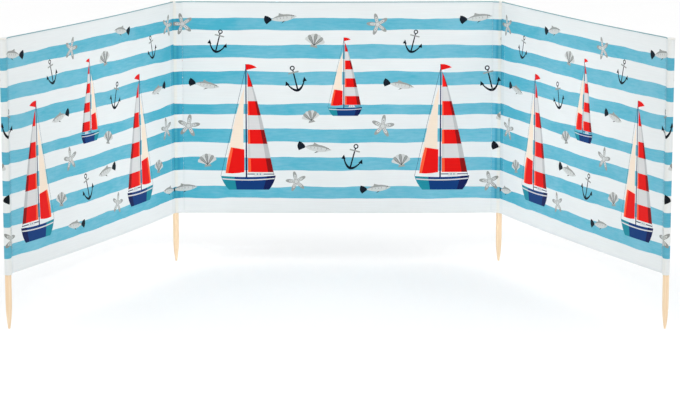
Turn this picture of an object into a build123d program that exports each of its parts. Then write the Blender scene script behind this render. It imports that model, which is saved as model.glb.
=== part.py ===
from build123d import *
import math
import os

# A beach windbreak: a long cloth in three bays on four wooden poles that are driven into the sand.
# The origin is the centre of the left corner pole's flat tip. +X runs along the centre bay to the
# right corner pole, -Y points to the sheltered side, where the side bays come forward, and +Z is up.
# All sizes are in millimetres and degrees.

# Poles
pole_length = 1000.0
pole_diameter = 22.0
point_length = 92.0
tip_diameter = 7.0
head_chamfer = 1.5

# Plan of the bays
bay_width = 1240.0  # from pole axis to pole axis
fold_angle = 66.0  # how far each side bay is turned forward from straight

# Cloth
cloth_height = 812.0
cloth_thickness = 1.0
panel_bow = 6.0  # how far the wind fills the middle of each panel towards the sheltered side
hem_height = 8.0
hem_layers = 2
hem_roundness = 0.45  # of the hem's thickness, where 0.5 is a full round

# Pole pockets, a strip of cloth wrapped round each pole and sewn to itself
pocket_clearance = 0.3
pocket_depth = 29.0  # from the pole's axis to where the two layers meet
pocket_seam_width = 6.0
pocket_seam_layers = 2
seam_clearance = 0.1  # between a panel's edge and the seam that it is sewn into

# Doubled edge by which a side bay hangs on its corner pole
fold_gap = 0.7
fold_seam_width = 26.0
fold_seam_layers = 2

# Values that follow
pole_radius = pole_diameter / 2
tip_radius = tip_diameter / 2
pocket_inner_radius = pole_radius + pocket_clearance
pocket_outer_radius = pocket_inner_radius + cloth_thickness
pocket_end = pocket_depth + pocket_seam_width
pocket_seam_thickness = pocket_seam_layers * cloth_thickness
cloth_top = pole_length + cloth_thickness
cloth_bottom = cloth_top - cloth_height
hem_thickness = hem_layers * cloth_thickness
hem_rounding = hem_roundness * hem_thickness
fold_seam_thickness = fold_seam_layers * cloth_thickness
fold_seam_start = pocket_outer_radius + fold_gap
fold_seam_end = fold_seam_start + fold_seam_width
panel_height = cloth_height - 2 * hem_height
centre_plane = Plane((bay_width / 2, 0, 0), z_dir=(1, 0, 0))


def pole():
    """A turned pole with a flat-tipped point whose curve runs smoothly into the shaft."""
    point = TangentArc((pole_radius, point_length), (tip_radius, 0), tangent=(0, -1))
    outline = [
        point,
        Line((tip_radius, 0), (0, 0)),
        Line((0, 0), (0, pole_length)),
        Line((0, pole_length), (pole_radius - head_chamfer, pole_length)),
        Line((pole_radius - head_chamfer, pole_length), (pole_radius, pole_length - head_chamfer)),
        Line((pole_radius, pole_length - head_chamfer), (pole_radius, point_length)),
    ]
    profile = Plane.XZ * make_face(outline)
    return revolve(profile, axis=Axis.Z)


def teardrop(radius, half_tail, reach):
    """Outline of cloth wrapped round a pole: a round nose and two sides tangent to it that close in."""
    touch = math.acos((radius - half_tail) / reach)
    nose = (radius * math.cos(touch), radius * math.sin(touch))
    tail = (reach + half_tail * math.cos(touch), half_tail * math.sin(touch))
    sides = [
        ThreePointArc(nose, (-radius, 0), (nose[0], -nose[1])),
        Line((nose[0], -nose[1]), (tail[0], -tail[1])),
        Line(nose, tail),
    ]
    if half_tail > 0:
        sides.append(Line(tail, (tail[0], -tail[1])))
    return make_face(sides)


def pocket_outline():
    """The pocket from outside, with the sewn edge where its two layers lie flat on each other."""
    wrap = teardrop(pocket_outer_radius, cloth_thickness, pocket_depth)
    seam = Rectangle(pocket_seam_width, pocket_seam_thickness, align=(Align.MIN, Align.CENTER))
    return wrap + Pos(pocket_depth, 0) * seam


def pocket():
    """A pocket open at the bottom, with its seam towards +X. Its top is a piece of its own."""
    hollow = teardrop(pocket_inner_radius, 0, pocket_depth)
    wall = pocket_outline() - hollow
    return Pos(0, 0, cloth_bottom) * extrude(wall, cloth_height - cloth_thickness)


def pocket_top():
    """The sewn end that closes the pocket and rests on the pole's head."""
    return Pos(0, 0, pole_length) * extrude(pocket_outline(), cloth_thickness)


def bowed(section, start, end, bow):
    """Carries an upright section from one x to another along the arc of cloth filled by the wind.
    The section's x is the cloth's thickness and its y is up."""
    path = ThreePointArc((start, 0), ((start + end) / 2, bow), (end, 0))
    along = path % 0
    across = Plane(origin=path @ 0, x_dir=(-along.Y, along.X, 0), z_dir=along)
    return sweep(across * section, path=path)


def panel(start, end, bow):
    """The single cloth between the seams and the hems."""
    section = Rectangle(cloth_thickness, panel_height, align=(Align.CENTER, Align.MIN))
    return Pos(0, 0, cloth_bottom + hem_height) * bowed(section, start, end, bow)


def bottom_hem(start, end, bow):
    """The cloth's bottom edge, folded over on itself, with its fold rounded."""
    section = Rectangle(hem_thickness, hem_height, align=(Align.CENTER, Align.MIN))
    section = fillet(section.vertices().group_by(Axis.Y)[0], hem_rounding)
    return Pos(0, 0, cloth_bottom) * bowed(section, start, end, bow)


def top_hem(start, end, bow):
    """The cloth's top edge, the bottom one turned over."""
    return mirror(bottom_hem(start, end, bow), about=Plane((0, 0, (cloth_bottom + cloth_top) / 2)))


def centre_bay():
    """The two corner poles, their pockets and the cloth between them."""
    near_seam = pocket_end + seam_clearance
    far_seam = bay_width - near_seam
    at_right = Pos(bay_width, 0, 0) * Rot(0, 0, 180)
    return {
        "left_corner_pole": pole(),
        "left_corner_pocket": pocket(),
        "left_corner_pocket_top": pocket_top(),
        "right_corner_pole": at_right * pole(),
        "right_corner_pocket": at_right * pocket(),
        "right_corner_pocket_top": at_right * pocket_top(),
        "centre_panel": panel(near_seam, far_seam, -panel_bow),
        "centre_top_hem": top_hem(near_seam, far_seam, -panel_bow),
        "centre_bottom_hem": bottom_hem(near_seam, far_seam, -panel_bow),
    }


def left_bay():
    """The left end pole with its pocket and the cloth that hangs on the left corner pole."""
    near_seam = fold_seam_end + seam_clearance
    far_seam = bay_width - pocket_end - seam_clearance
    at_end = Pos(bay_width, 0, 0) * Rot(0, 0, 180)
    seam_middle = Pos((fold_seam_start + fold_seam_end) / 2, 0, (cloth_bottom + cloth_top) / 2)
    pieces = {
        "end_pole": at_end * pole(),
        "end_pocket": at_end * pocket(),
        "end_pocket_top": at_end * pocket_top(),
        "panel": panel(near_seam, far_seam, panel_bow),
        "top_hem": top_hem(near_seam, far_seam, panel_bow),
        "bottom_hem": bottom_hem(near_seam, far_seam, panel_bow),
        "fold_seam": seam_middle * Box(fold_seam_width, fold_seam_thickness, cloth_height),
    }
    forward = Rot(0, 0, 180 + fold_angle)
    return {name: forward * piece for name, piece in pieces.items()}


def build():
    """Every piece of the windbreak by name. The right bay is the left one's mirror image."""
    pieces = centre_bay()
    for name, piece in left_bay().items():
        pieces[f"left_{name}"] = piece
        pieces[f"right_{name}"] = mirror(piece, about=centre_plane)
    return pieces


os.makedirs("parts", exist_ok=True)
for name, piece in build().items():
    export_step(piece, f"parts/{name}.step")
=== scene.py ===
"""Dresses the beach windbreak: printed cloth sewn into pockets round four pointed wooden poles."""
import math
import random

import bpy
import numpy as np
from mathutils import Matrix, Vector
from mathutils.geometry import delaunay_2d_cdt
from mathutils.kdtree import KDTree


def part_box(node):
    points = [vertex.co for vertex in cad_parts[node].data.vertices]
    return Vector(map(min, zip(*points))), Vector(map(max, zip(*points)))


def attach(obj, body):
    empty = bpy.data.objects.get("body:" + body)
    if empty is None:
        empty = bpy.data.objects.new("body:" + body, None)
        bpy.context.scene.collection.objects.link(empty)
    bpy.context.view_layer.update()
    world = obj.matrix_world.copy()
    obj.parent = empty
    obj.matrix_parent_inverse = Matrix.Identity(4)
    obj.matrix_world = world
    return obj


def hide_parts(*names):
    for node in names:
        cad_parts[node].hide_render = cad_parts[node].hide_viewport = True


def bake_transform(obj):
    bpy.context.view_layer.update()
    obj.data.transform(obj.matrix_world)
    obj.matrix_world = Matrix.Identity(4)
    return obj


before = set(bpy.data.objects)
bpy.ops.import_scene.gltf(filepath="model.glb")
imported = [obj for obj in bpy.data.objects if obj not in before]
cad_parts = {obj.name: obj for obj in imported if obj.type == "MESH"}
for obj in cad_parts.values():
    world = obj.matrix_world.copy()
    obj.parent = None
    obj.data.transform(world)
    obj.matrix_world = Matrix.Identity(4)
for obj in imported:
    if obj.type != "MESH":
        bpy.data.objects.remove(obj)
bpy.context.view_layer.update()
MM = 0.001
SIDES = ("left", "right")

# Cloth
CLOTH_THICKNESS = 0.45 * MM
HEM_THICKNESS = 1.2 * MM
HEM_HEIGHT = 8 * MM
HEM_RISE = 0.3 * MM  # how far a hem stands proud of the front
LAYER_GAP = 0.7 * MM  # half the way between the two layers of a pocket's seam
POCKET_DEPTH = 29 * MM  # from the pole's axis to where the layers meet
POCKET_SEAM = 6 * MM
POCKET_CLEARANCE = 0.6 * MM  # from the pole to the inside of the cloth
FOLDED_EDGE = 29 * MM  # a side bay's doubled edge where it is sewn to the corner pocket
FOLDED_EDGE_START = 9 * MM  # from the corner pole's axis
FOLD = (12 * MM, 36 * MM)  # from that axis, the stretch where a side bay would bend as it is folded, though nothing here bends it
CORNER_SEAM_TURN = 20  # degrees from a side bay's line forward to its seam on the corner pocket

# How the cloth hangs
GRAVITY = 9.8
BREEZE = 0.8  # metres a second squared, towards the sheltered side
BOW = 4 * MM
NET_STEP = 18 * MM
START_WAVES = 14
START_WAVE = 0.6 * MM
SEWN_UNEVENLY = 3 * MM
UNEVEN_WAVES = 8
PULL_REACH = 0.08  # how far in from a seam its unevenness pulls
CUT_WIDTH = 0.9995  # of the open width, at the top
CUT_WIDER_BELOW = 0.0009  # and more of it at the bottom
FRAMES = 36
CLOTH_SETTINGS = {
    "quality": 10, "mass": 0.02, "tension_stiffness": 300, "compression_stiffness": 300,
    "shear_stiffness": 25, "bending_stiffness": 3, "tension_damping": 8, "air_damping": 2,
}

# Stitches, and how they draw the cloth in
STITCH_PITCH = 4.2 * MM
STITCH_LENGTH = 3.3 * MM
THREAD_RADIUS = 0.28 * MM
HEM_STITCHES = 5.5 * MM  # from the cloth's edge
HEM_DIMPLE, HEM_DIMPLE_REACH = 0.25 * MM, 1.2 * MM
SEAM_DIMPLE, SEAM_DIMPLE_REACH = 0.5 * MM, 2 * MM
PUCKER, PUCKER_WAVE, PUCKER_REACH = 0.3 * MM, 17 * MM, 9 * MM
RIPPLE, RIPPLE_WAVE, RIPPLE_REACH = 0.3 * MM, 26 * MM, 14 * MM  # along the top and bottom edges

# Spacing of the meshes' grid lines
GRID_ALONG = 9 * MM
GRID_UP = 6.5 * MM
SEAM_GRID = 1.5 * MM
NOSE_GRID = 2.2 * MM
BESIDE_GRID, BESIDE = 4 * MM, 34 * MM  # the spacing beside a pocket, and how far that goes
CLOSEST_LINES = 0.9 * MM
HEM_GRID = [(0, 4 * MM, 1.3 * MM), (4 * MM, 9 * MM, 0.5 * MM), (9 * MM, 24 * MM, 3 * MM)]
OUTLINE_STEP, BENT_OUTLINE_STEP = 8 * MM, 2 * MM  # on flat cloth and round a pole
CLEAR_OF_OUTLINES = 1.6 * MM

# Print, in millimetres down from the cloth's top edge
TOP_LINE = 3.0  # a line along the top fold, its blue muted by painted shade of the fold
STRIPES = [(66, 108), (165, 218), (269, 320), (391, 434), (487, 542), (597, 648), (712, 756)]


def centre_of(node):
    """The middle of a node's box, in plan."""
    low, high = (np.array(corner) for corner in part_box(node))
    return ((low + high) / 2)[:2]


pole_low, pole_high = (np.array(corner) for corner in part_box("left_corner_pole"))
POLE_RADIUS = (pole_high[0] - pole_low[0]) / 2
POLE_HEIGHT = pole_high[2]
CLOTH_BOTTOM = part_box("left_corner_pocket")[0][2]
CLOTH_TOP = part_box("left_corner_pocket_top")[1][2]
CLOTH_HEIGHT = CLOTH_TOP - CLOTH_BOTTOM
POCKET_RADIUS = POLE_RADIUS + POCKET_CLEARANCE + CLOTH_THICKNESS
POCKET_END = POCKET_DEPTH + POCKET_SEAM
PLACES = ("left_corner", "left_end", "right_corner", "right_end")
POLES = {place: centre_of(f"{place}_pole") for place in PLACES}
INSIDE = sum(POLES.values()) / len(POLES)


# The bays in plan

class Bay:
    """A bay's coordinates: x along it from its first pole, y to the sheltered side and z up."""

    def __init__(self, start, end):
        self.origin = start
        self.width = float(np.linalg.norm(end - start))
        self.along = (end - start) / self.width
        left = np.array([-self.along[1], self.along[0]])
        self.turned = float(left @ (INSIDE - start)) > 0
        self.sheltered = left if self.turned else -left

    def world(self, x, y, z):
        """Points in the part's frame."""
        plan = self.origin + np.outer(x, self.along) + np.outer(y, self.sheltered)
        return np.column_stack([plan, z])


BAYS = {
    "centre": Bay(POLES["left_corner"], POLES["right_corner"]),
    "left": Bay(POLES["left_corner"], POLES["left_end"]),
    "right": Bay(POLES["right_corner"], POLES["right_end"]),
}
BAY_WIDTH = BAYS["centre"].width
OPEN_WIDTH = BAY_WIDTH - 2 * POCKET_END


def smooth(t):
    """0 before 0, 1 after 1 and smooth between."""
    t = np.clip(t, 0, 1)
    return t * t * (3 - 2 * t)


def unit(vectors):
    """Vectors made one metre long."""
    return vectors / np.linalg.norm(vectors, axis=1)[:, None]


def pocket_wrap():
    """A pocket with its seam towards +x, from the seam's back round the pole to its front."""
    touch = math.acos(POCKET_RADIUS / POCKET_DEPTH)
    angles = np.linspace(-touch, touch - 2 * math.pi, 70)
    nose = np.column_stack([np.cos(angles), np.sin(angles)]) * POCKET_RADIUS
    seam_back = [(POCKET_END, -LAYER_GAP), (POCKET_DEPTH, -LAYER_GAP)]
    seam_front = [(POCKET_DEPTH, LAYER_GAP), (POCKET_END, LAYER_GAP)]
    return np.vstack([seam_back, nose, seam_front])


def last_pocket_wrap():
    """The same on a bay's second pole, from the seam's front round to its back."""
    return (pocket_wrap() * (-1, 1) + (BAY_WIDTH, 0))[::-1]


def bowed_line(start, end):
    """Points between two places on a shallow bow to the sheltered side."""
    t = np.linspace(0, 1, 60)[1:-1, None]
    line = np.array(start) + (np.array(end) - np.array(start)) * t
    return line + np.hstack([0 * t, 4 * BOW * t * (1 - t)])


class Plan:
    """The cloth's line in plan by the distance along it, with the print on its left."""

    def __init__(self, points, fine=0.25 * MM, rounding=6):
        corners = np.array(points)
        steps = np.linalg.norm(np.diff(corners, axis=0), axis=1)
        far = np.concatenate([[0], np.cumsum(steps)])
        self.length = far[-1]
        self.s = np.linspace(0, self.length, int(self.length / fine))
        window = np.hanning(2 * rounding + 1)
        window /= window.sum()
        self.line = []
        for axis in (0, 1):
            values = np.interp(self.s, far, corners[:, axis])
            values[rounding:-rounding] = np.convolve(values, window, "valid")
            self.line.append(values)

    def at(self, s):
        """Place and left-hand normal at each distance."""
        x, y = (np.interp(s, self.s, values) for values in self.line)
        dx, dy = (np.interp(s, self.s, np.gradient(values)) for values in self.line)
        size = np.hypot(dx, dy)
        return x, y, -dy / size, dx / size


WRAP = Plan(pocket_wrap()).length


def centre_plan():
    """From the back of the left pocket's seam round both poles to the back of the right one's."""
    between = bowed_line((POCKET_END, LAYER_GAP), (BAY_WIDTH - POCKET_END, LAYER_GAP))
    return Plan(np.vstack([pocket_wrap(), between, last_pocket_wrap()]))


def side_plan():
    """From the seam on the corner pocket to the end pocket's seam on the back."""
    turn = math.radians(CORNER_SEAM_TURN)
    start = np.array([math.cos(turn), math.sin(turn)]) * (POCKET_RADIUS + CLOTH_THICKNESS)
    between = bowed_line(start, (BAY_WIDTH - POCKET_END, LAYER_GAP))
    return Plan(np.vstack([[start], between, last_pocket_wrap()]))


# The hanging cloth

class Net:
    """Values on an even net over a bay's open cloth, read smoothly between its points."""

    def __init__(self, values):
        self.rows, self.columns = values.shape
        self.values = np.pad(values, 2, mode="reflect", reflect_type="odd")

    @staticmethod
    def weights(t):
        """A cubic B-spline's four weights at each place between two points."""
        return [(1 - t) ** 3 / 6, (3 * t ** 3 - 6 * t ** 2 + 4) / 6,
                (-3 * t ** 3 + 3 * t ** 2 + 3 * t + 1) / 6, t ** 3 / 6]

    def __call__(self, x, up):
        across = np.clip((x - POCKET_END) / OPEN_WIDTH, 0, 1) * (self.columns - 1)
        high = np.clip(up / CLOTH_HEIGHT, 0, 1) * (self.rows - 1)
        i = np.minimum(across.astype(int), self.columns - 2)
        j = np.minimum(high.astype(int), self.rows - 2)
        total = np.zeros(len(x))
        for a, weight_a in enumerate(self.weights(across - i)):
            for b, weight_b in enumerate(self.weights(high - j)):
                total += weight_a * weight_b * self.values[j + b + 1, i + a + 1]
        return total


def hung_cloth(seed):
    """How far a plain cloth hung between a bay's two seams in a light breeze stands out."""
    columns, rows = int(OPEN_WIDTH / NET_STEP) + 1, int(CLOTH_HEIGHT / NET_STEP) + 1
    x, z = np.meshgrid(np.linspace(0, OPEN_WIDTH, columns), np.linspace(0, CLOTH_HEIGHT, rows))
    t, h = x / OPEN_WIDTH, z / CLOTH_HEIGHT
    chance = random.Random(seed)
    start = 6 * BOW * t * (1 - t)
    for _ in range(START_WAVES):
        across, up, phase = chance.uniform(1, 9), chance.uniform(-6, 6), chance.uniform(0, 2 * math.pi)
        start += START_WAVE * np.sin(math.pi * t) * np.sin((across * t + up * h) * math.pi + phase)
    uneven = []
    for _ in SIDES:
        shift = np.zeros(rows)
        for wave in range(1, UNEVEN_WAVES + 1):
            phase = chance.uniform(0, 2 * math.pi)
            shift += chance.gauss(0, 1) * np.sin(wave * math.pi * h[:, 0] + phase) / math.sqrt(wave)
        uneven.append(shift[:, None] * SEWN_UNEVENLY)
    pulled = np.exp(-x / PULL_REACH) * uneven[0] + np.exp(-(OPEN_WIDTH - x) / PULL_REACH) * uneven[1]
    looser = CUT_WIDTH + CUT_WIDER_BELOW * (1 - h)
    cut = np.stack([(x - OPEN_WIDTH / 2) * looser + OPEN_WIDTH / 2, 0 * x, z + pulled], -1)
    firsts = [row * columns + column for row in range(rows - 1) for column in range(columns - 1)]
    faces = [(a, a + 1, a + columns + 1, a + columns) for a in firsts]
    mesh = bpy.data.meshes.new("hung")
    mesh.from_pydata(np.stack([x, start, z], -1).reshape(-1, 3).tolist(), [], faces)
    piece = bpy.data.objects.new("hung", mesh)
    scene = bpy.context.scene
    scene.collection.objects.link(piece)
    piece.shape_key_add(name="Basis")
    cut_size = piece.shape_key_add(name="cut_size")
    cut_size.data.foreach_set("co", cut.ravel())
    sewn = piece.vertex_groups.new(name="sewn")
    ends = [row * columns + column for row in range(rows) for column in (0, columns - 1)]
    sewn.add(ends, 1, "REPLACE")
    cloth = piece.modifiers.new("Cloth", "CLOTH")
    cloth.settings.vertex_group_mass = sewn.name
    cloth.settings.rest_shape_key = cut_size
    for setting, value in CLOTH_SETTINGS.items():
        setattr(cloth.settings, setting, value)
    cloth.collision_settings.use_collision = False
    cloth.point_cache.frame_end = FRAMES
    gravity = tuple(scene.gravity)
    scene.gravity = (0, BREEZE, -GRAVITY)
    for number in range(1, FRAMES + 1):
        scene.frame_set(number)
    shape = piece.evaluated_get(bpy.context.evaluated_depsgraph_get()).to_mesh()
    places = np.zeros(len(shape.vertices) * 3)
    shape.vertices.foreach_get("co", places)
    scene.gravity = gravity
    bpy.data.objects.remove(piece)
    scene.frame_set(1)
    return Net(places.reshape(rows, columns, 3)[..., 1])


class Cloth:
    """One bay's cloth, whose front is found by the distance along its plan and the height."""

    def __init__(self, name, plan, seams, seed):
        self.name, self.bay, self.plan, self.seams = name, BAYS[name], plan, seams
        self.central = name == "centre"
        self.hang = hung_cloth(seed)
        chance = random.Random(seed)
        self.phases = [chance.uniform(0, 2 * math.pi) for _ in range(len(seams) + 1)]

    def front(self, s, up):
        """Points on the front, in the part's frame."""
        x, y, nx, ny = self.plan.at(s)
        out = self.hang(x, up)
        for seam, phase in zip(self.seams, self.phases):
            away = np.abs(s - seam)
            ripple = np.sin(up * 2 * math.pi / PUCKER_WAVE + phase + 2 * np.sin(up * 11))
            out = out - SEAM_DIMPLE * np.exp(-(away / SEAM_DIMPLE_REACH) ** 2)
            out = out + PUCKER * ripple * np.exp(-away / PUCKER_REACH) * smooth(away / (1.5 * MM))
        edge = np.minimum(up, CLOTH_HEIGHT - up)
        out = out + HEM_RISE * (1 - smooth((edge - HEM_HEIGHT + MM) / MM))
        out = out - HEM_DIMPLE * np.exp(-((edge - HEM_STITCHES) / HEM_DIMPLE_REACH) ** 2)
        wave = np.sin(s * 2 * math.pi / RIPPLE_WAVE + 2 * np.sin(s * 17) + self.phases[-1])
        faces_front = smooth((ny - 0.93) / 0.06)
        out = out + RIPPLE * wave * np.exp(-edge / RIPPLE_REACH) * faces_front
        return self.bay.world(x + nx * out, y + ny * out, up + CLOTH_BOTTOM)

    def facing(self, s, up, step=0.4 * MM):
        """The front's normal at each place."""
        ahead = self.front(s + step, up) - self.front(s - step, up)
        above = self.front(s, up + step) - self.front(s, up - step)
        return unit(np.cross(ahead, above) * (-1 if self.bay.turned else 1))

    def thickness(self, up):
        """How thick the cloth is at each height."""
        edge = np.minimum(up, CLOTH_HEIGHT - up)
        return np.where(edge < HEM_HEIGHT - 0.2 * MM, HEM_THICKNESS, CLOTH_THICKNESS)


# The print's motifs: inks and outlines in millimetres, in the order they are printed

RED = (0.79, 0.002, 0.001)
ORANGE_RED = (0.92, 0.11, 0.035)
DARK_RED = (0.25, 0.001, 0.002)
LIGHT = (0.68, 0.68, 0.68)
SHADED_LIGHT = (0.50, 0.51, 0.52)
NAVY = (0.0, 0.038, 0.185)
DARK_NAVY = (0.001, 0.008, 0.08)
TEAL = (0.010, 0.255, 0.332)
CREAM = (0.887, 0.763, 0.63)
GREY = (0.33, 0.345, 0.33)
PALE_GREY = (0.62, 0.64, 0.63)
CHARCOAL = (0.001, 0.006, 0.014)
BARE = None


def bend(a, b, sag, steps=8):
    """Points from a to b on a shallow curve that stands out by sag to the left."""
    a, b = np.array(a, float), np.array(b, float)
    t = np.linspace(0, 1, steps + 1)[:, None]
    left = np.array([a[1] - b[1], b[0] - a[0]]) / np.linalg.norm(b - a)
    return a + (b - a) * t + left * sag * 4 * t * (1 - t)


def outline(*stretches):
    """One closed outline from stretches of points, without repeated points."""
    points = np.vstack([np.atleast_2d(s) for s in stretches])
    keep = np.linalg.norm(points - np.roll(points, 1, axis=0), axis=1) > 0.05
    return points[keep]


def disc(x, y, radius, steps=12):
    """A round outline."""
    angles = np.linspace(0, 2 * np.pi, steps, endpoint=False)
    return np.column_stack([x + radius * np.cos(angles), y + radius * np.sin(angles)])


def bar(a, b, half):
    """A straight bar from a to b, with half its width."""
    a, b = np.array(a, float), np.array(b, float)
    left = np.array([a[1] - b[1], b[0] - a[0]]) / np.linalg.norm(b - a) * half
    return outline(a - left, b - left, b + left, a + left)


def boat():
    """A sailing boat with a banded mainsail, seen from the side, standing on y = 0."""
    foot, head, mast_top = 68, 452, 484
    bow, stern, keel_bow, keel_stern = (-98, 53), (112, 55), (-68, 0), (86, 0)

    def reach(y):
        return 98 * (1 - (y - foot) / (head - foot)) ** 0.8

    parts = [
        (DARK_NAVY, bar((0, mast_top - 12), bow, 0.6)),
        (DARK_NAVY, bar((0, mast_top - 12), (106, 56), 0.6)),
        (DARK_NAVY, outline([(-3, 42), (3, 42), (1.8, mast_top), (-1.8, mast_top)])),
    ]
    bands = 7
    for band in range(bands):
        y0, y1 = (foot + (head - foot) * (band + k) / bands for k in (0, 1))
        ys = np.linspace(y0, y1, 7)
        inks = (ORANGE_RED, RED, DARK_RED) if band % 2 == 0 else (PALE_GREY, LIGHT, SHADED_LIGHT)
        for ink, near, far in zip(inks, (0, 0.12, 0.78), (0.12, 0.78, 1)):
            far_edge = np.column_stack([6 + reach(ys) * far, ys])
            near_edge = np.column_stack([6 + reach(ys) * near, ys])[::-1]
            parts.append((ink, outline(far_edge, near_edge)))
    luff, tack, clew = (-6, 398), (-80, 64), (-8, 68)
    cross_luff, cross_leech = (-58.5, 164), (-7.5, 156)
    parts += [
        (CREAM, outline(bend(luff, tack, -9), bend(tack, clew, -3, 3), bend(clew, luff, 4))),
        (RED, outline(bend(cross_luff, tack, -2), bend(tack, clew, -3, 3), cross_leech)),
        (ORANGE_RED, outline(bend(cross_luff, tack, -2), (-70, 64), (-50, 162))),
        (RED, outline((0, mast_top), bend((1, mast_top), (42, 471), 4, 4), (1, 461))),
        (DARK_NAVY, bar((4, 60.75), (106, 60.75), 1.75)),
        (LIGHT, outline((28, 53), (34, 66), (62, 67), (70, 54))),
        (TEAL, disc(42, 60.5, 2.6, 10)),
        (TEAL, disc(53, 60.5, 2.6, 10)),
    ]
    sheer = bend(bow, stern, -5)
    stern_edge, bow_edge = bend(stern, keel_stern, 4, 4), bend(keel_bow, bow, 4, 4)
    parts += [
        (NAVY, outline(sheer, stern_edge, bow_edge)),
        (TEAL, outline(bend(bow, (-46, 50), -1, 3), (-38, 0), bow_edge)),
        (DARK_NAVY, outline((78, 52.5), stern_edge, (64, 0))),
        (LIGHT, outline(bend((-93, 44), (108, 46), -5), bend((106.8, 41.5), (-91, 39.5), 5))),
    ]
    return parts


def fish():
    """A small fish swimming to +x, about its middle."""
    back = bend((-40, 1), (52, -1), 12.5, 10)
    belly = bend((52, -1), (-40, -2), 11, 10)
    tail = bend((-38, 0), (-62, 17), -3, 4), bend((-62, 17), (-60, -15), -6, 4)
    parts = [
        (CHARCOAL, outline((-38, 0), *tail, (-38, -2))),
        (GREY, outline((-14, 9), (-10, 19), bend((-10, 19), (22, 10), -2, 4), (24, 8))),
        (CHARCOAL, outline((4, -9), (-7, -19), (12, -11))),
        (PALE_GREY, outline(back, belly)),
        (GREY, outline(back, bend((52, -1), (-40, 1), -5, 10))),
        (CHARCOAL, outline(bend((32, 8.6), (30, -8.4), 4, 6), bend((30, -8.4), (32, 8.6), -2.8, 6))),
        (CHARCOAL, disc(40, 2.6, 1.9)),
    ]
    for x in (-22, -10, 2, 14):
        upper, lower = (x, 4.5), (x, -4.5)
        parts.append((CHARCOAL, outline(bend(upper, lower, 3.2, 5), bend(lower, upper, -2.2, 5))))
    return parts


def shell():
    """A fan-shaped shell with its hinge at the bottom."""
    ribs = 7
    fan = np.radians(np.linspace(158, 22, ribs + 1))
    parts = [(GREY, outline((-15, -24), (15, -24), (9, -14), (-9, -14)))]
    for rib, (a0, a1) in enumerate(zip(fan, fan[1:])):
        tip0, tip1 = ((40 * math.cos(a), -18 + 44 * math.sin(a)) for a in (a0, a1))
        ink = PALE_GREY if rib % 2 == 0 else GREY
        parts.append((ink, outline((0, -18), bend(tip0, tip1, 3.4, 5))))
    for angle in fan[1:-1]:
        far_end = (34 * math.cos(angle), -18 + 37 * math.sin(angle))
        parts.append((CHARCOAL, bar(far_end, (0, -17), 0.6)))
    return parts


def starfish():
    """A five-armed starfish about its middle."""
    angles = np.linspace(0, 2 * np.pi, 70, endpoint=False)
    radius = 12 + 33 * np.abs(np.cos(2.5 * angles)) ** 2.6
    round_it = np.column_stack([-np.sin(angles), np.cos(angles)])
    parts = [(GREY, round_it * radius[:, None]), (PALE_GREY, round_it * (radius * 0.74 - 2)[:, None])]
    for arm in range(5):
        angle = math.pi / 2 + arm * 2 * math.pi / 5
        for far in (9, 16, 23):
            parts.append((CHARCOAL, disc(far * math.cos(angle), far * math.sin(angle), 1.5, 8)))
    return parts


def anchor():
    """An anchor about its middle."""
    parts = [
        (CHARCOAL, outline([(-3, -44), (3, -44), (2.4, 32), (-2.4, 32)])),
        (CHARCOAL, outline(bend((-36, -14), (36, -14), -38, 14), bend((30, -16), (-30, -16), 26, 14))),
        (GREY, bar((-20, 22.75), (20, 22.75), 2.75)),
        (CHARCOAL, disc(0, 40, 9.5, 18)),
        (BARE, disc(0, 40, 5.2, 14)),
    ]
    for side in (-1, 1):
        parts.append((CHARCOAL, outline((side * 42, -20), (side * 36, -2), (side * 25, -19))))
    return parts


# What each repeat holds: the motif, how far along, how far down, its size and its tilt in degrees
REPEAT = 740
LAYOUT = [
    (boat, 0, 722, 1.0, 0), (boat, 372, 436, 0.62, 0),
    (fish, 140, 62, 1.05, 8), (shell, 262, 150, 1.0, -12), (starfish, 500, 86, 0.95, 14),
    (anchor, 636, 150, 0.9, -14), (anchor, 186, 292, 1.0, 14), (fish, 588, 318, 1.0, -9),
    (shell, 246, 440, 0.9, 12), (starfish, 520, 476, 1.0, -8), (fish, 268, 560, 1.1, -7),
    (anchor, 408, 592, 1.0, -15), (shell, 590, 610, 0.95, 8), (starfish, 190, 690, 0.9, 12),
    (fish, 500, 716, 1.0, 6),
]


def motifs(length, first):
    """Every motif on a cloth whose first large boat stands a given way along, in metres."""
    made = []
    for number in range(-1, int(length / (REPEAT * MM)) + 2):
        for motif, along, down, size, tilt in LAYOUT:
            place = (first + (number * REPEAT + along) * MM, CLOTH_HEIGHT - down * MM)
            cos, sin = math.cos(math.radians(tilt)), math.sin(math.radians(tilt))
            matrix = np.array([[cos, sin], [-sin, cos]]) * size * MM
            made += [(ink, clipped(points @ matrix + place, length)) for ink, points in motif()]
    return [(ink, points) for ink, points in made if points is not None]


def clipped(points, length):
    """An outline cut off at the cloth's edges, or None if it is off the cloth."""
    for axis, limit, sign in ((0, 0, 1), (0, length, -1), (1, 0, 1), (1, CLOTH_HEIGHT, -1)):
        kept = []
        for a, b in zip(points, np.roll(points, -1, axis=0)):
            inside_a = sign * (a[axis] - limit) >= 0
            inside_b = sign * (b[axis] - limit) >= 0
            if inside_a:
                kept.append(a)
            if inside_a != inside_b:
                kept.append(a + (b - a) * (limit - a[axis]) / (b[axis] - a[axis]))
        points = np.array(kept)
        if len(points) < 3:
            return None
    return points


def within(points, polygon):
    """Which points lie inside a closed outline."""
    inside = np.zeros(len(points), bool)
    x, y = points[:, 0], points[:, 1]
    for (x0, y0), (x1, y1) in zip(polygon, np.roll(polygon, -1, axis=0)):
        if y0 != y1:
            crosses = (y0 > y) != (y1 > y)
            inside ^= crosses & (x < x0 + (y - y0) * (x1 - x0) / (y1 - y0))
    return inside


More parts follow.
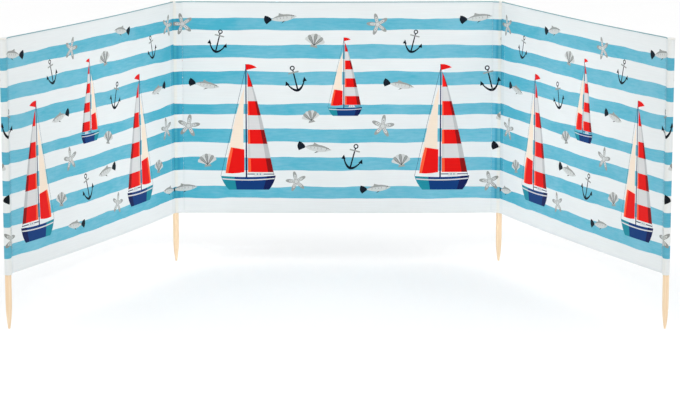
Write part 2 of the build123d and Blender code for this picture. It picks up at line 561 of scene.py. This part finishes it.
def ink_of(centres, drawn):
    """Each point's ink, with 1 where a motif is printed or 0 where the stripes show."""
    colours = np.zeros((len(centres), 4))
    for ink, polygon in drawn:
        near = np.where(((centres > polygon.min(0)) & (centres < polygon.max(0))).all(1))[0]
        if len(near) > 0:
            hit = near[within(centres[near], polygon)]
            colours[hit] = (0, 0, 0, 0) if ink is BARE else (*ink, 1)
    return colours


# Cloth meshes

def spread(stretches):
    """Grid lines from stretches of (start, end, spacing)."""
    values = []
    for start, end, spacing in stretches:
        values.extend(np.linspace(start, end, max(2, int(round((end - start) / spacing)) + 1)))
    values = np.array(sorted(values))
    return values[np.concatenate([[True], np.diff(values) > 0.1 * MM])]


def grid_up():
    """Grid lines up the cloth, close together at the hems."""
    hem = spread(HEM_GRID)
    middle = spread([(hem[-1], CLOTH_HEIGHT - hem[-1], GRID_UP)])
    return np.concatenate([hem, middle[1:-1], (CLOTH_HEIGHT - hem)[::-1]])


def grid_along(cloth):
    """Grid lines along the cloth, close together round the poles and at the seams."""
    length = cloth.plan.length
    first, last = WRAP if cloth.central else cloth.seams[0], length - WRAP
    stretches = [(0, first, NOSE_GRID), (first, first + BESIDE, BESIDE_GRID),
                 (first + BESIDE, last - BESIDE, GRID_ALONG),
                 (last - BESIDE, last, BESIDE_GRID), (last, length, NOSE_GRID)]
    for seam in cloth.seams:
        stretches.append((max(0, seam - 4 * MM), min(length, seam + 4 * MM), SEAM_GRID))
    values = spread(stretches)
    keep = [values[0]]
    for value in values[1:-1]:
        if value - keep[-1] > CLOSEST_LINES:
            keep.append(value)
    return np.array(keep + [values[-1]])


def stepped(polygon, step):
    """An outline with more points, none further than a step from the next."""
    points = []
    for a, b in zip(polygon, np.roll(polygon, -1, axis=0)):
        pieces = math.ceil(np.linalg.norm(b - a) / step)
        points.extend(a + (b - a) * k / pieces for k in range(pieces))
    return points


def flat_net(columns, rows, drawn):
    """Triangles over the flat cloth whose edges follow the grid and the motifs' outlines."""
    points, edges, inked = [], [], []
    for _, polygon in drawn:
        wrapped = polygon[:, 0].max() > columns[-1] - WRAP or polygon[:, 0].min() < WRAP
        corners = stepped(polygon, BENT_OUTLINE_STEP if wrapped else OUTLINE_STEP)
        first, count = len(points), len(corners)
        points.extend(map(tuple, corners))
        edges.extend((first + k, first + (k + 1) % count) for k in range(count))
        inked.extend(stepped(polygon, BENT_OUTLINE_STEP))
    tree = KDTree(len(inked))
    for number, place in enumerate(inked):
        tree.insert((*place, 0), number)
    tree.balance()
    for x in columns:
        for y in rows:
            on_edge = x in (columns[0], columns[-1]) or y in (rows[0], rows[-1])
            if on_edge or tree.find((x, y, 0))[2] > CLEAR_OF_OUTLINES:
                points.append((x, y))
    made = delaunay_2d_cdt([Vector(p) for p in points], edges, [], 0, 1e-7, False)
    return np.array([tuple(v) for v in made[0]]), np.array([f for f in made[2] if len(f) == 3])


def rim_edges(triangles):
    """The edges that only one triangle has, with that triangle on their left."""
    once = set()
    for a, b, c in triangles.tolist():
        for edge in ((a, b), (b, c), (c, a)):
            if edge[::-1] in once:
                once.remove(edge[::-1])
            else:
                once.add(edge)
    return np.array(sorted(once))


ATTRIBUTES = {1: ("FLOAT", "POINT", "value"), 3: ("FLOAT_VECTOR", "POINT", "vector"),
              4: ("FLOAT_COLOR", "FACE", "color")}


def add_values(mesh, name, values):
    """Keeps a number or place for each of a mesh's points, or a colour for each face."""
    kind, domain, field = ATTRIBUTES[values.size // len(values)]
    attribute = mesh.attributes.new(name, kind, domain)
    attribute.data.foreach_set(field, np.asarray(values, np.float32).ravel())


def link_piece(name, vertices, faces, materials):
    """A smooth-shaded mesh object in the scene."""
    mesh = bpy.data.meshes.new(name)
    mesh.from_pydata(vertices.tolist(), [], faces)
    mesh.polygons.foreach_set("use_smooth", np.ones(len(faces), bool))
    for material in materials:
        mesh.materials.append(material)
    piece = bpy.data.objects.new(name, mesh)
    bpy.context.scene.collection.objects.link(piece)
    return piece


def printed_net(cloth, first_boat):
    """The flat cloth's points and triangles, and each triangle's ink."""
    drawn = motifs(cloth.plan.length, first_boat)
    flat, triangles = flat_net(grid_along(cloth), grid_up(), drawn)
    return flat, triangles, ink_of(flat[triangles].mean(1), drawn)


def cloth_piece(cloth, net, materials):
    """A bay's cloth with its real thickness, rounded edges and the print on its front."""
    flat, triangles, ink = net
    s, up = flat.T
    front, normal = cloth.front(s, up), cloth.facing(s, up)
    if cloth.bay.turned:
        triangles = triangles[:, ::-1]
    back = front - normal * cloth.thickness(up)[:, None]
    rim = rim_edges(triangles)
    outward = np.zeros_like(front)
    for end in (0, 1):
        along = front[rim[:, 1]] - front[rim[:, 0]]
        np.add.at(outward, rim[:, end], np.cross(along, normal[rim[:, end]]))
    edge = np.unique(rim)
    outward[edge] = unit(outward[edge])
    half = cloth.thickness(up)[edge, None] / 2
    middle = front[edge] - normal[edge] * half + outward[edge] * half
    count = len(front)
    middle_of = np.zeros(count, int)
    middle_of[edge] = 2 * count + np.arange(len(edge))
    a, b = rim.T
    faces = triangles.tolist() + (triangles[:, ::-1] + count).tolist()
    faces += np.column_stack([b, a, middle_of[a], middle_of[b]]).tolist()
    faces += np.column_stack([middle_of[b], middle_of[a], a + count, b + count]).tolist()
    piece = link_piece(f"{cloth.name}_cloth", np.vstack([front, back, middle]), faces, materials)
    mesh = piece.data
    bare = np.zeros((2 * len(rim), 4))
    add_values(mesh, "ink", np.vstack([ink, ink, bare]))
    sides = np.concatenate([np.zeros(len(ink)), np.ones(len(ink)), np.zeros(2 * len(rim))])
    mesh.polygons.foreach_set("material_index", sides.astype(np.int32))
    order = np.concatenate([np.arange(count), np.arange(count), edge])
    add_values(mesh, "lay", np.column_stack([s, up, 0 * s])[order])
    x = cloth.plan.at(s)[0]
    looks = {"doubled": doubled(cloth, x, up), "pole_behind": pole_behind(cloth, x),
             "faded": faded(x), "layers_and_crease_shade": layers_and_crease_shade(cloth, x)}
    for label, values in looks.items():
        add_values(mesh, label, values[order])
    mesh.update()
    return piece


def doubled(cloth, x, up):
    """1 where a second layer lies behind: in pockets, hems and a side bay's folded edge."""
    start = POCKET_END if cloth.central else FOLDED_EDGE + FOLDED_EDGE_START
    beside = (x < start - 0.3 * MM) | (x > BAY_WIDTH - POCKET_END + 0.3 * MM)
    return (beside | (np.minimum(up, CLOTH_HEIGHT - up) < HEM_HEIGHT)).astype(float)


def pole_behind(cloth, x):
    """How much of a pole shows through the cloth in front of it."""
    show = np.zeros(len(x))
    for pole, depth in ((0, 1), (BAY_WIDTH, 1 if cloth.central else 0.5)):
        off = np.abs(x - pole) / POLE_RADIUS
        show = np.maximum(show, depth * (1 - smooth((off - 0.7) / 0.5)))
    return show


def faded(x):
    """How far the sun has bleached the blue along a bay: least beside its first pole."""
    t = x / BAY_WIDTH
    return 0.1 + 0.45 * smooth((t - 0.06) / 0.24) + 0.15 * smooth((t - 0.75) / 0.15)


def layers_and_crease_shade(cloth, x):
    """How much deeper the blue is in a pocket, with painted shade in the crease where a corner
    pocket's layers close in.
    """
    off = np.minimum(np.abs(x), np.abs(BAY_WIDTH - x))
    # painted shade: a dark line in the crease where the layers close in beside a corner pole
    painted_crease_shade = 0.65 * np.exp(-((off - 14 * MM) / (5 * MM)) ** 2)
    at_corner = cloth.central | (x < BAY_WIDTH / 2)
    return painted_crease_shade * at_corner + 0.12 * (1 - smooth((off - 26 * MM) / (12 * MM)))


# Stitches

def stitch_row(cloth, start, end, reverse=False):
    """Each stitch of a straight row: its middle, its direction and the way it faces."""
    start, end = np.array(start), np.array(end)
    count = int(np.linalg.norm(end - start) / STITCH_PITCH)
    t = (np.arange(count) + 0.5) / count
    s, up = (start + (end - start) * t[:, None]).T
    way = (end - start) / np.linalg.norm(end - start) * STITCH_LENGTH / 2
    middle, normal = cloth.front(s, up), cloth.facing(s, up)
    ahead = cloth.front(s + way[0], up + way[1]) - cloth.front(s - way[0], up - way[1])
    if reverse:
        middle = middle - normal * cloth.thickness(up)[:, None]
        normal = -normal
    return middle, unit(ahead), normal


def stitches_piece(name, rows, material):
    """Rows of short raised threads whose ends dive into the cloth."""
    middle, ahead, normal = (np.vstack(values) for values in zip(*rows))
    across = np.cross(ahead, normal)
    profile = [(-0.5, -0.16, 0.45), (-0.3, 0.12, 0.95), (0.3, 0.12, 0.95), (0.5, -0.16, 0.45)]
    sides = 5
    rings = []
    for along, rise, girth in profile:
        centre = middle + ahead * along * STITCH_LENGTH + normal * rise * MM
        for side in range(sides):
            angle = 2 * math.pi * side / sides
            spoke = across * math.cos(angle) + normal * math.sin(angle)
            rings.append(centre + spoke * girth * THREAD_RADIUS)
    count = len(profile) * sides
    vertices = np.stack(rings, 1).reshape(-1, 3)
    pattern = [tuple(range(sides)), tuple(count - 1 - k for k in range(sides))]
    for ring in range(len(profile) - 1):
        for side in range(sides):
            a, b = ring * sides + side, ring * sides + (side + 1) % sides
            pattern.append((b, a, a + sides, b + sides))
    starts = range(0, len(vertices), count)
    faces = [tuple(k + start for k in face) for start in starts for face in pattern]
    return link_piece(name, vertices, faces, [material])


def stitches_of(cloth, cap_rows, material):
    """A bay's stitching: hems and seams, on both faces, and round its pocket tops."""
    length, high = cloth.plan.length, CLOTH_HEIGHT
    edge = MM
    rows = list(cap_rows)
    for up in (HEM_STITCHES, high - HEM_STITCHES):
        rows.append(stitch_row(cloth, (edge, up), (length - edge, up)))
        first = WRAP if cloth.central else edge
        rows.append(stitch_row(cloth, (first, up), (length - WRAP, up), reverse=True))
    for seam in cloth.seams:
        rows.append(stitch_row(cloth, (seam, edge), (seam, high - edge)))
    if not cloth.central:
        seam = cloth.seams[0]
        rows.append(stitch_row(cloth, (seam, edge), (seam, high - edge), reverse=True))
    return stitches_piece(f"{cloth.name}_stitches", rows, material)


# Pocket tops

CAP_POINTS = 128
CAP_STITCHES = 26
CAP_THICKNESS = 0.4
CAP_RIM = 0.93  # of the pocket's outline, where the patch turns over the rim
CAP_SEAM = (0.55, -2.3)  # millimetres out from the pocket and up from the cap
# The patch from its turned-down edge up over the rim to its middle: its size, millimetres out and up
CAP_PROFILE = [(1, 0.95, -4.0), (1, 0.88, -3.2), (1, *CAP_SEAM), (1, 0.9, -1.2), (1, 1.0, -0.2),
               (0.985, 0.85, 0.75), (0.955, 0.4, 1.15), (0.92, 0, 1.1), (0.87, 0, 0.75),
               (0.78, 0, 0.45), (0.6, 0, 0.4), (0.35, 0, 0.35), (0.12, 0, 0.3)]


def cap_outline():
    """Evenly spaced points of a pocket from above, from its tail, and the way out at each."""
    tail = [(POCKET_END, 0)]
    around = np.vstack([tail, pocket_wrap()[2:-2], tail])
    far = np.concatenate([[0], np.cumsum(np.linalg.norm(np.diff(around, axis=0), axis=1))])
    even = np.linspace(0, far[-1], CAP_POINTS + 1)[:-1]
    points = np.column_stack([np.interp(even, far, values) for values in around.T])
    return points, unit(points)


def cap_puckers():
    """How far the thread draws the patch in and out round its edge, in millimetres."""
    turn = np.linspace(0, 2 * math.pi, CAP_POINTS, endpoint=False)
    return 0.2 * np.sin(CAP_STITCHES * turn + 0.9 * np.sin(3 * turn)) + 0.12 * np.sin(7 * turn + 1)


def cap_ring(scale, out, rise, inward=0.0):
    """One ring of a patch, or of its underside, in its pocket's own coordinates."""
    points, outward = cap_outline()
    fading = smooth((scale - 0.7) / 0.25)
    puckers = cap_puckers() * fading
    stand_out = (out + puckers - inward) * MM if scale > CAP_RIM else 0 * puckers
    plan = points * scale + outward * stand_out[:, None]
    sink = inward * (1 - smooth((scale - CAP_RIM) / 0.05))
    heights = POLE_HEIGHT + (0.9 + rise + 0.8 * puckers - sink) * MM
    return np.column_stack([plan, heights])


def placed_on_pole(bay, at_end, local):
    """Points of a pocket's own coordinates in the part's frame."""
    if at_end:
        local = local * (-1, 1, 1) + (BAY_WIDTH, 0, 0)
    return bay.world(*local.T)


def cap_piece(name, bay, at_end, material):
    """A small patch sewn over a pocket's top, with its edge turned down and drawn in."""
    rings = [cap_ring(*ring) for ring in CAP_PROFILE]
    under = [cap_ring(*ring, CAP_THICKNESS) for ring in CAP_PROFILE[::-1]]
    local = np.vstack(rings + under)
    count, ring_count, faces = CAP_POINTS, len(rings + under), []
    for ring in range(ring_count):
        if ring != len(rings) - 1:
            ahead = (ring + 1) % ring_count
            for k in range(count):
                j = (k + 1) % count
                here, there = ring * count, ahead * count
                faces.append((here + k, here + j, there + j, there + k))
    top = (len(rings) - 1) * count
    faces.append(tuple(top + k for k in range(count)))
    faces.append(tuple(top + count + k for k in reversed(range(count))))
    if at_end == bay.turned:
        faces = [face[::-1] for face in faces]
    piece = link_piece(name, placed_on_pole(bay, at_end, local), faces, [material])
    turned_down = np.repeat([ring[0] > 0.97 for ring in CAP_PROFILE + CAP_PROFILE[::-1]], count)
    below = np.minimum(local[:, 2] - POLE_HEIGHT - 2 * MM, 0) / 2
    printed = CLOTH_HEIGHT + np.where(turned_down, below, local[:, 1] - 30 * MM)
    add_values(piece.data, "lay", np.column_stack([local[:, 0], printed, 0 * below]))
    over_pole = 1 - smooth((local[:, 0] - POLE_RADIUS / 2) / (7 * MM))
    add_values(piece.data, "pole_behind", over_pole)
    for label in ("doubled", "faded", "layers_and_crease_shade"):
        add_values(piece.data, label, np.zeros(len(local)))
    add_values(piece.data, "ink", np.zeros((len(faces), 4)))
    return piece


def cap_stitches(bay, at_end):
    """The stitches round a pocket's top, as a row."""
    ring = cap_ring(1, *CAP_SEAM)
    outward = np.column_stack([cap_outline()[1], np.zeros(CAP_POINTS)])
    step = CAP_POINTS / CAP_STITCHES
    picked = ((np.arange(CAP_STITCHES) + 0.5) * step).astype(int)
    middle = placed_on_pole(bay, at_end, ring[picked])
    normal = placed_on_pole(bay, at_end, (ring + outward)[picked]) - middle
    ahead = placed_on_pole(bay, at_end, ring[(picked + 1) % CAP_POINTS]) - middle
    return middle, unit(ahead), normal


# Materials

class Shader:
    """A new material whose nodes are added and linked by name."""

    def __init__(self, name):
        self.material = bpy.data.materials.new(name)
        self.material.use_nodes = True
        self.tree = self.material.node_tree
        self.tree.nodes.clear()

    def set(self, socket, value):
        """Sets a socket to a number or links another node's output to it."""
        if isinstance(value, bpy.types.NodeSocket):
            self.tree.links.new(value, socket)
        else:
            socket.default_value = value

    def add(self, kind, sockets=None, **settings):
        """A node with its settings and sockets."""
        node = self.tree.nodes.new("ShaderNode" + kind)
        for key, value in settings.items():
            setattr(node, key, value)
        for key, value in (sockets or {}).items():
            self.set(node.inputs[key], value)
        return node

    def math(self, operation, a, b=0.0):
        """The result of a sum on one or two numbers."""
        return self.add("Math", {0: a, 1: b}, operation=operation).outputs[0]

    def mix(self, factor, a, b, blend="MIX"):
        """Two colours mixed."""
        return self.add("Mix", {0: factor, 6: a, 7: b}, data_type="RGBA", blend_type=blend).outputs[2]

    def noise(self, place, scale, detail=3.0, roughness=0.5):
        """Noise stretched by a scale for each axis."""
        placed_at = self.add("Mapping", {"Vector": place, "Scale": scale}).outputs[0]
        sockets = {"Vector": placed_at, "Scale": 1.0, "Detail": detail, "Roughness": roughness}
        return self.add("TexNoise", sockets).outputs["Fac"]

    def swing(self, size, *noise):
        """Noise that swings evenly about 0, by about half of size each way."""
        return self.math("MULTIPLY", self.math("SUBTRACT", self.noise(*noise), 0.5), size)

    def attribute(self, name, output="Fac"):
        """A value that the mesh holds."""
        return self.add("Attribute", attribute_name=name).outputs[output]

    def finish(self, surface):
        """Links the surface to the material's output."""
        self.add("OutputMaterial", {"Surface": surface})
        return self.material


WHITE_CLOTH = (0.795, 0.824, 0.826, 1)
BLUE_CLOTH = (0.201, 0.523, 0.651, 1)
DEEP_BLUE_CLOTH = (0.070, 0.430, 0.570, 1)
# the pockets' deepest blue, which also paints the shade in the crease beside a corner pole
POCKET_BLUE_AND_CREASE_SHADE = (0.044, 0.334, 0.478, 1)
# the top fold's line: blue muted with painted shade of the fold
TOP_FOLD_BLUE_AND_SHADE = (0.285, 0.455, 0.495, 1)
POLE_TINT = (1.02, 0.98, 0.925, 1)
REVERSE_VEIL = (0.80, 0.86, 0.88, 1)
# the thread's painted shade in its grooves, and its lit ridges
THREAD_GROOVE_SHADE_AND_LIT = ((0.66, 0.74, 0.77, 1), (0.84, 0.88, 0.90, 1))
RING_COLOURS = ((0.80, 0.595, 0.375, 1), (0.865, 0.715, 0.50, 1))
WOOD_CLOUDS = (0.85, 0.645, 0.465, 1)
WOOD_LINES = (0.66, 0.445, 0.265, 1)
WOOD_PORES = (0.58, 0.38, 0.22, 1)
FLOOR_COLOURS = ((0.95, 0.95, 0.95, 1), (0.965, 0.965, 0.965, 1))


def stripe_mask(shader, lay, up):
    """1 on the blue stripes, whose edges wave gently as if drawn by hand."""
    wave = shader.swing(19 * MM, lay, (5, 13, 1), 2.0, 0.4)
    rough = shader.swing(1.3 * MM, lay, (55, 55, 1), 2.0)
    height = shader.math("ADD", shader.math("ADD", up, wave), rough)
    ramp = shader.add("ValToRGB", {"Fac": shader.math("DIVIDE", height, CLOTH_HEIGHT)})
    ramp.color_ramp.interpolation = "CONSTANT"
    stops = ramp.color_ramp.elements
    stops.remove(stops[1])
    stops[0].position, stops[0].color = 0, (0, 0, 0, 1)
    for top, bottom in reversed(STRIPES):
        for place, tone in ((bottom, 1), (top, 0)):
            stop = stops.new(1 - place * MM / CLOTH_HEIGHT)
            stop.color = (tone, tone, tone, 1)
    return ramp.outputs["Color"]


def weave_bump(shader, lay, u, v):
    """A plain weave, raised from the cloth, with thicker threads here and there."""
    threads = 2 * math.pi / (0.6 * MM)
    warp, weft = (shader.math("SINE", shader.math("MULTIPLY", way, threads)) for way in (u, v))
    weave = shader.math("MULTIPLY", shader.math("MULTIPLY", warp, weft), 0.12)
    slubs = shader.noise(lay, (14, 330, 1))
    crossing = shader.noise(lay, (260, 18, 1))
    thicker = shader.math("ADD", slubs, shader.math("MULTIPLY", crossing, 0.5))
    total = shader.math("ADD", weave, thicker)
    return shader.add("Bump", {"Height": total, "Strength": 0.6, "Distance": 0.18 * MM}).outputs[0]


def printed_cloth(name, reverse):
    """Woven polyester seen from its printed side, or paler from its reverse."""
    shader = Shader(name)
    lay = shader.attribute("lay", "Vector")
    u, v = shader.add("SeparateXYZ", {0: lay}).outputs[:2]
    patches = shader.swing(1.9, lay, (5, 9, 1), 5.0, 0.7)
    streaks = shader.swing(1.1, lay, (22, 160, 1), 3.0, 0.6)
    fading = shader.math("ADD", shader.attribute("faded"), shader.math("ADD", patches, streaks))
    washed = shader.mix(shader.add("Clamp", {"Value": fading}).outputs[0], DEEP_BLUE_CLOTH, BLUE_CLOTH)
    # deeper blue in the pockets, with painted shade in the crease beside each corner pole
    washed = shader.mix(shader.attribute("layers_and_crease_shade"), washed, POCKET_BLUE_AND_CREASE_SHADE)
    colour = shader.mix(stripe_mask(shader, lay, v), WHITE_CLOTH, washed)
    pole = shader.attribute("pole_behind")
    # the line along the top fold, muted with painted shade, is left off where a pole lies behind
    top = shader.math("GREATER_THAN", v, CLOTH_HEIGHT - TOP_LINE * MM)
    top = shader.math("MULTIPLY", top, shader.math("SUBTRACT", 1.0, pole))
    colour = shader.mix(top, colour, TOP_FOLD_BLUE_AND_SHADE)
    ink = shader.add("Attribute", attribute_name="ink")
    colour = shader.mix(ink.outputs["Alpha"], colour, ink.outputs["Color"])
    threads = shader.swing(0.10, lay, (9, 260, 1), 3.0, 0.6)
    clouds = shader.swing(0.05, lay, (7, 5, 1))
    gain = shader.math("ADD", shader.math("ADD", threads, clouds), 1.0)
    colour = shader.add("VectorMath", {0: colour, 1: gain}, operation="MULTIPLY").outputs[0]
    deeper = shader.math("ADD", shader.math("MULTIPLY", shader.attribute("doubled"), 0.2), 1.0)
    colour = shader.add("Gamma", {"Color": colour, "Gamma": deeper}).outputs[0]
    colour = shader.mix(pole, colour, POLE_TINT, "MULTIPLY")
    if reverse:
        colour = shader.mix(0.38, colour, REVERSE_VEIL)
    cloth = shader.add("BsdfPrincipled", {
        "Base Color": colour, "Roughness": 0.6, "Specular IOR Level": 0.15, "Sheen Weight": 0.03,
        "Sheen Roughness": 0.4, "Normal": weave_bump(shader, lay, u, v)})
    through = shader.add("BsdfTranslucent", {"Color": colour})
    both = shader.add("MixShader", {0: 0.12, 1: cloth.outputs[0], 2: through.outputs[0]})
    return shader.finish(both.outputs[0])


def thread():
    """White polyester sewing thread with its twist, with painted shade in the twist's grooves."""
    shader = Shader("thread")
    place = shader.add("TexCoord").outputs["Object"]
    twist = shader.add("TexWave", {"Vector": place, "Scale": 900.0, "Distortion": 1.0},
                       bands_direction="DIAGONAL").outputs["Fac"]
    # painted shade: darker where the twist's grooves sink
    colour = shader.mix(twist, *THREAD_GROOVE_SHADE_AND_LIT)
    bump = shader.add("Bump", {"Height": twist, "Strength": 0.4, "Distance": 0.05 * MM}).outputs[0]
    surface = shader.add("BsdfPrincipled", {"Base Color": colour, "Roughness": 0.5, "Normal": bump})
    return shader.finish(surface.outputs[0])


def pole_wood():
    """Pale turned softwood: growth rings cut by the turning, fine pores and a little wear."""
    shader = Shader("pale_wood")
    place = shader.add("TexCoord").outputs["Object"]
    off_centre = {"Vector": place, "Location": (0.031, 0.017, 0), "Scale": (1, 1, 0.04)}
    growth = {"Vector": shader.add("Mapping", off_centre).outputs[0], "Scale": 46.0, "Distortion": 2.2,
              "Detail": 3.0, "Detail Scale": 1.6}
    rings = shader.add("TexWave", growth, wave_type="RINGS", rings_direction="Z").outputs["Fac"]
    fibres = shader.noise(place, (760, 760, 11), 5.0, 0.62)
    pores = shader.noise(place, (1500, 1500, 60))
    clouds = shader.noise(place, (24, 24, 7))
    colour = shader.mix(rings, *RING_COLOURS)
    colour = shader.mix(shader.math("MULTIPLY", clouds, 0.55), colour, WOOD_CLOUDS)
    lines = shader.add("MapRange", {"Value": fibres, "From Min": 0.46, "From Max": 0.72}).outputs[0]
    colour = shader.mix(shader.math("MULTIPLY", lines, 0.5), colour, WOOD_LINES)
    colour = shader.mix(shader.math("MULTIPLY", pores, 0.16), colour, WOOD_PORES)
    grain = shader.math("ADD", fibres, pores)
    height = shader.math("ADD", shader.math("MULTIPLY", rings, 0.08), grain)
    bump = shader.add("Bump", {"Height": height, "Strength": 0.3, "Distance": 0.15 * MM}).outputs[0]
    gloss = shader.math("ADD", shader.math("MULTIPLY", pores, 0.2), 0.45)
    surface = shader.add("BsdfPrincipled", {"Base Color": colour, "Roughness": gloss, "Normal": bump})
    return shader.finish(surface.outputs[0])


def floor_paint():
    """A pale, even floor with hardly any texture."""
    shader = Shader("floor")
    mottle = shader.noise(shader.add("TexCoord").outputs["Object"], (1.5, 1.5, 1.5))
    colour = shader.mix(mottle, *FLOOR_COLOURS)
    surface = shader.add("BsdfPrincipled", {"Base Color": colour, "Roughness": 0.85})
    return shader.finish(surface.outputs[0])


# The pieces

PRINT = printed_cloth("printed_cloth", reverse=False)
REVERSE = printed_cloth("cloth_reverse", reverse=True)
THREAD = thread()
WOOD = pole_wood()
PLANS = {"centre": centre_plan(), "side": side_plan()}
NETS = {}


def make_bay(name, seed, first_boat):
    """A bay's cloth, stitches and pocket tops, with the nodes they stand for hidden; the pocket tops
    and the centre bay's pieces ride on their bay's body.
    """
    centre = name == "centre"
    kind = "centre" if centre else "side"
    plan = PLANS[kind]
    inset = POCKET_SEAM / 2
    seams = [inset, WRAP - inset] if centre else [FOLDED_EDGE - inset]
    seams += [plan.length - WRAP + inset, plan.length - inset]
    cloth = Cloth(name, plan, seams, seed)
    if kind not in NETS:
        NETS[kind] = printed_net(cloth, first_boat)
    panel = cloth_piece(cloth, NETS[kind], [PRINT, REVERSE])
    places = [f"{side}_corner" for side in SIDES] if centre else [f"{name}_end"]
    cap_rows = [cap_stitches(cloth.bay, place != "left_corner") for place in places]
    stitches = stitches_of(cloth, cap_rows, THREAD)
    for place in places:
        cap = cap_piece(f"{place}_cap", cloth.bay, place != "left_corner", PRINT)
        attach(cap, f"{name}_bay")
        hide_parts(f"{place}_pocket_top")
    replaced = [f"{name}_{node}" for node in ("panel", "top_hem", "bottom_hem")]
    replaced += [f"{place}_pocket" for place in places] + ([] if centre else [f"{name}_fold_seam"])
    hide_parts(*replaced)
    for piece in (panel, stitches):
        if centre:
            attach(piece, "centre_bay")
        else:
            start, end = (cloth.bay.world(np.array([x]), [0], [0])[0] for x in FOLD)
            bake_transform(piece)


# Each bay, the seed of its wrinkles and how many metres along it its first large boat stands
make_bay("centre", 7, 0.35)
make_bay("left", 11, 0.29)
make_bay("right", 23, 0.29)
for place in PLACES:
    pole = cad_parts[f"{place}_pole"]
    pole.data.materials.clear()
    pole.data.materials.append(WOOD)


# Floor, light and camera

FLOOR_SIZE = 80
# The large soft lights: where each stands, its size and its power in watts
SOFT_LIGHTS = {
    "front": ((-4, -11, 5), 6, 46),
    "left": ((-7, -5, 7), 5, 75),
    "right": ((8.2, -5, 7), 5, 103),
    "above": ((0.6, -2.5, 8), 5, 45),
}
CORNER_LIGHT = {"size": 1, "power": 0.95, "spread": 9}
CAMERA_PLACE = (0.63, -10.015, 2.104)
CAMERA_LENS = 140.7
CAMERA_TILT = 10.711  # degrees down from level


def floor():
    """The plain floor the windbreak stands on."""
    bpy.ops.mesh.primitive_plane_add(size=FLOOR_SIZE, location=(BAY_WIDTH / 2, 0, 0))
    ground = bpy.context.object
    ground.name = "floor"
    ground.data.materials.append(floor_paint())


def area_light(name, place, aim, size, power, spread=180):
    """A square light, whose grid keeps its beam within a spread in degrees."""
    data = bpy.data.lights.new(name, "AREA")
    data.size, data.energy, data.spread = size, power, math.radians(spread)
    lamp = bpy.data.objects.new(name, data)
    lamp.location = place
    lamp.rotation_euler = (Vector(aim) - Vector(place)).to_track_quat("-Z", "Y").to_euler()
    bpy.context.scene.collection.objects.link(lamp)


def studio():
    """Even white surroundings, the large soft lights and a small one on each corner."""
    world = bpy.data.worlds.new("studio")
    world.use_nodes = True
    background = world.node_tree.nodes["Background"]
    background.inputs["Color"].default_value = (1, 1, 1, 1)
    background.inputs["Strength"].default_value = 1
    bpy.context.scene.world = world
    aim = (BAY_WIDTH / 2, -0.3, 0.4)
    for name, (place, size, power) in SOFT_LIGHTS.items():
        area_light(name, place, aim, size, power)
    for side, inward in (("left", 1), ("right", -1)):
        x, y = POLES[f"{side}_corner"]
        place, corner = (x + 4 * inward, y - 6.5, 4), (x - 0.1 * inward, y - 0.2, 0.5)
        area_light(f"{side}_corner", place, corner, **CORNER_LIGHT)


def camera():
    """The photograph's view: a long lens from the front, a little above the cloth."""
    data = bpy.data.cameras.new("camera")
    data.lens, data.sensor_width = CAMERA_LENS, 36
    eye = bpy.data.objects.new("camera", data)
    eye.location = CAMERA_PLACE
    eye.rotation_euler = (math.radians(90 - CAMERA_TILT), 0, 0)
    bpy.context.scene.collection.objects.link(eye)
    bpy.context.scene.camera = eye


floor()
studio()
camera()
bpy.context.scene.view_settings.view_transform = "Standard"
